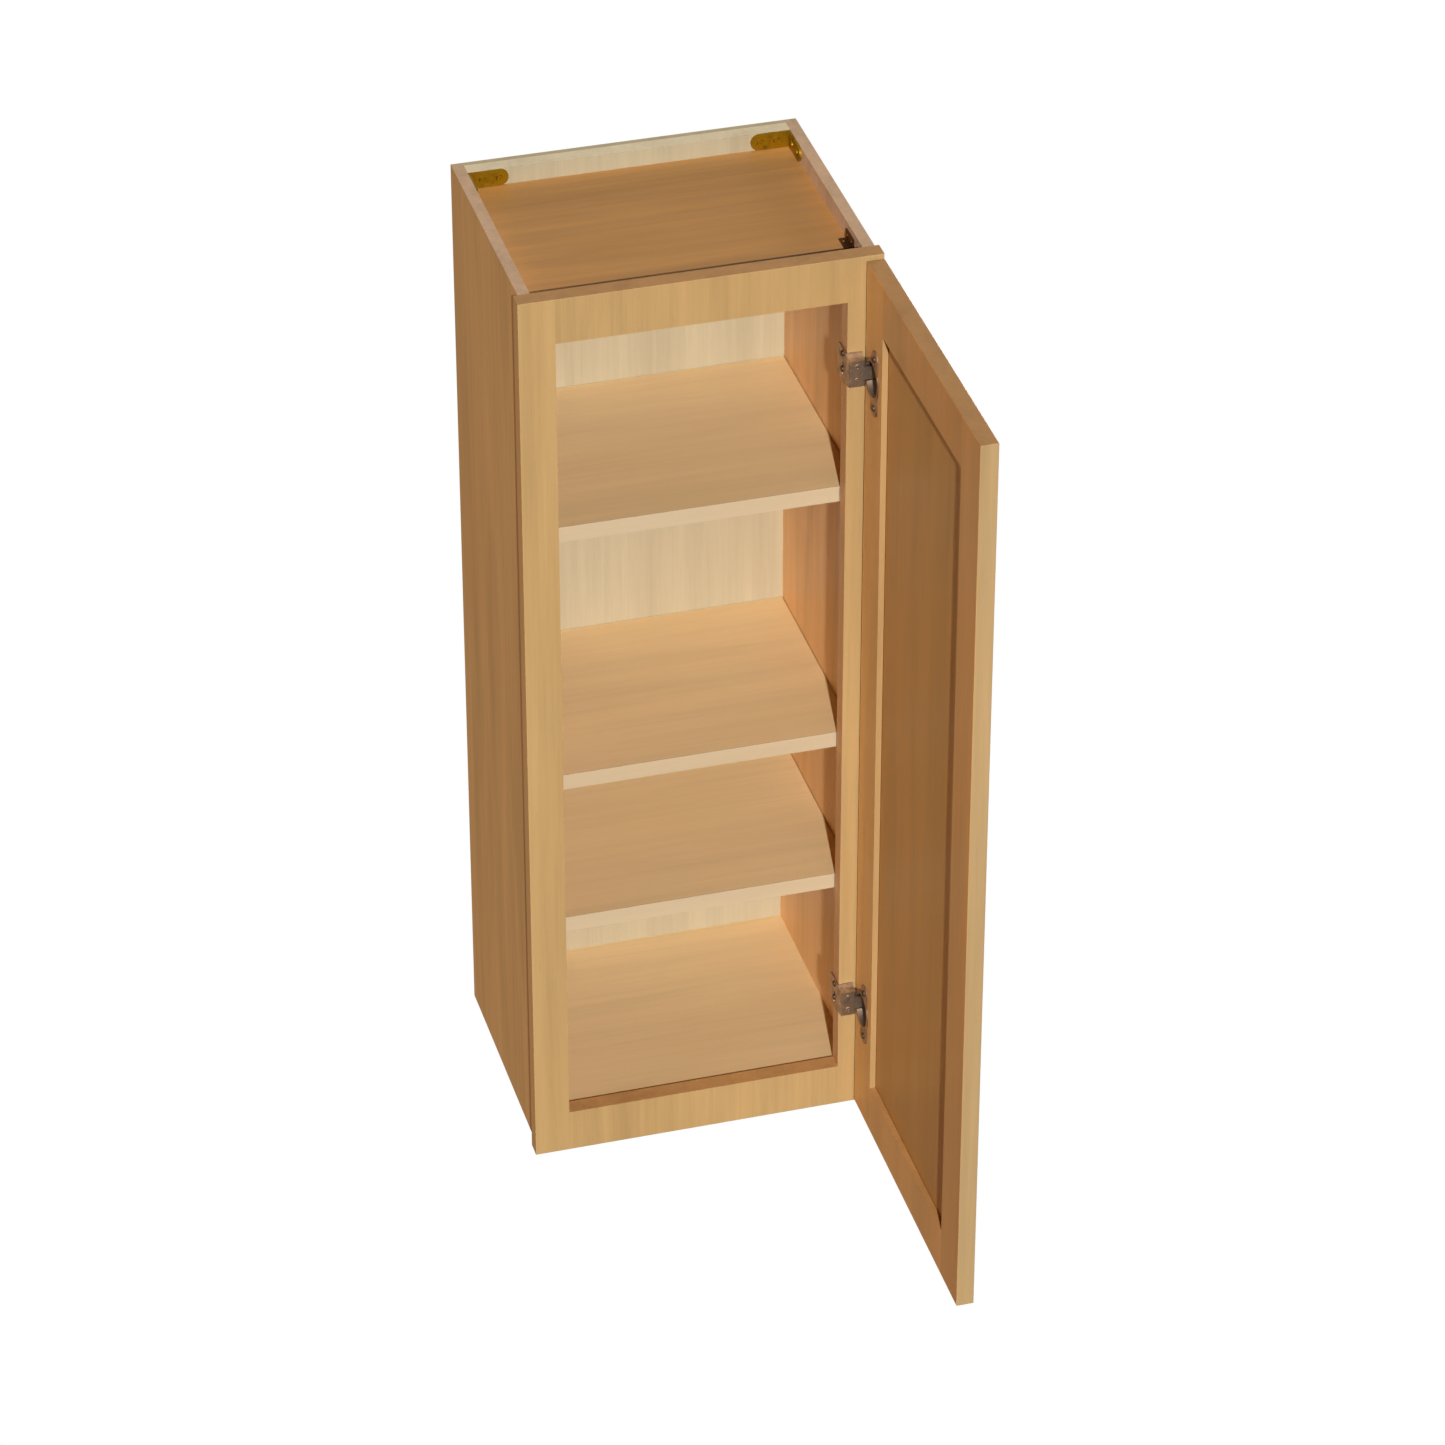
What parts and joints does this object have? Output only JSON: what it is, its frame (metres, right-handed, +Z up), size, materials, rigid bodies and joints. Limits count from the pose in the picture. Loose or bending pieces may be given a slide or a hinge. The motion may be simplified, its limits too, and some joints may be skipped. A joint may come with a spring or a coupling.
{
  "type": "wall cabinet",
  "caption": "Tall narrow face-frame wall cabinet in honey-coloured wood, with inner shelves and a framed flat-panel door that swings open on concealed cup hinges.",
  "frame": {"origin": "centre of the back, on the wall plane, at mid height", "axes": "+X to the right as seen from the front, +Y into the wall, +Z up; the door is open a quarter turn at rest"},
  "size_m": [0.381, 0.6777, 1.0668],
  "materials": {
    "finished_wood": "satin clear coat over honey-coloured hardwood",
    "deck_wood": "satin clear coat over veneered panel, deeper honey colour",
    "case_wood": "satin clear coat over veneered panel, finished outside and natural inside",
    "natural_wood": "satin clear coat over pale natural veneer",
    "edge_band": "thin pale wood band",
    "pin_steel": "plated steel",
    "brass": "dull yellow plated steel",
    "bronze": "dark brown, matt",
    "bright_steel": "plated steel",
    "hinge_steel": "grey-brown plated steel, satin"
  },
  "bodies": {
    "cabinet": {"back_panel": "natural_wood", "bottom_hanging_rail": "natural_wood", "bottom_panel": "natural_wood", "corner_brace_left": "brass", "corner_brace_right": "brass", "corner_brace_screws_left": "brass", "corner_brace_screws_right": "brass", "frame_rail_bottom": "finished_wood", "frame_rail_top": "finished_wood", "frame_stile_left": "finished_wood", "frame_stile_right": "finished_wood", "front_clip": "bronze", "front_clip_screws": "bronze", "hinge_arm_lower": "hinge_steel", "hinge_arm_upper": "hinge_steel", "hinge_base_lower": "hinge_steel", "hinge_base_screws_lower": "bright_steel", "hinge_base_screws_upper": "bright_steel", "hinge_base_upper": "hinge_steel", "hinge_cam_screws_lower": "bright_steel", "hinge_cam_screws_upper": "bright_steel", "shelf_lower": "natural_wood", "shelf_lower_edge_band": "edge_band", "shelf_middle": "natural_wood", "shelf_middle_edge_band": "edge_band", "shelf_pins": "pin_steel", "shelf_upper": "natural_wood", "shelf_upper_edge_band": "edge_band", "side_left": "case_wood", "side_right": "case_wood", "top_hanging_rail": "natural_wood", "top_panel": "deck_wood"},
    "door": {"door_panel": "finished_wood", "door_rail_bottom": "finished_wood", "door_rail_top": "finished_wood", "door_stile_hinge": "finished_wood", "door_stile_latch": "finished_wood", "hinge_cup_lower": "hinge_steel", "hinge_cup_screws_lower": "bright_steel", "hinge_cup_screws_upper": "bright_steel", "hinge_cup_upper": "hinge_steel", "hinge_pin_lower": "bright_steel", "hinge_pin_upper": "bright_steel"}
  },
  "joints": [
    {"name": "door_hinge", "type": "hinge", "parent": "cabinet", "child": "door", "pos_m": [0.17868, -0.31245, 0], "axis": [0, 0, 1], "range_deg": [-90, 15]}
  ]
}
